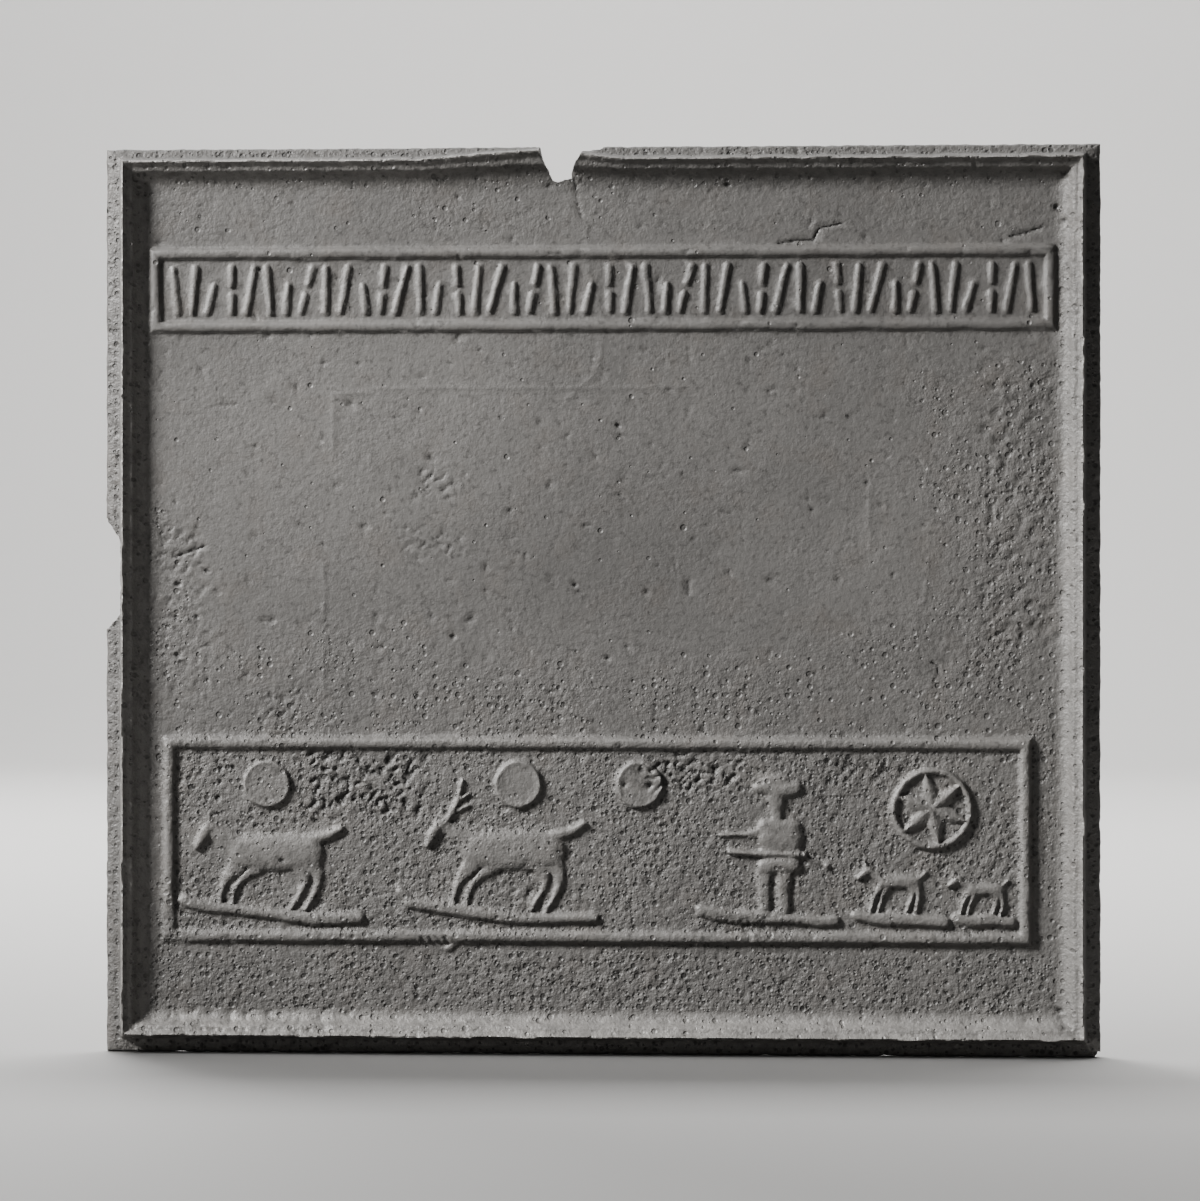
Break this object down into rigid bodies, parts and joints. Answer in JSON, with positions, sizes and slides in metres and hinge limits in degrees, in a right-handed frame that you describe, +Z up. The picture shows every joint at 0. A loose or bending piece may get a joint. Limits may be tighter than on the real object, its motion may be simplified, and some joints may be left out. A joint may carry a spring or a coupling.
{
  "type": "stove plate",
  "caption": "Rectangular cast-iron stove plate with a moulded rim, a beaded band of raised marks and a beaded hunting panel in low relief, with breaks in its top and left edges.",
  "frame": {"origin": "middle of the plate's outer rectangle on its flat back face", "axes": "+Z up the plate, +X to the right of someone facing the relief, +Y out of the back, so the relief faces -Y"},
  "size_m": [0.66, 0.0185, 0.602],
  "materials": {
    "cast_iron": "bare, dull, with sand-cast grain, pitting and light rust"
  },
  "bodies": {
    "root": {"stove_plate": "cast_iron"}
  },
  "joints": []
}
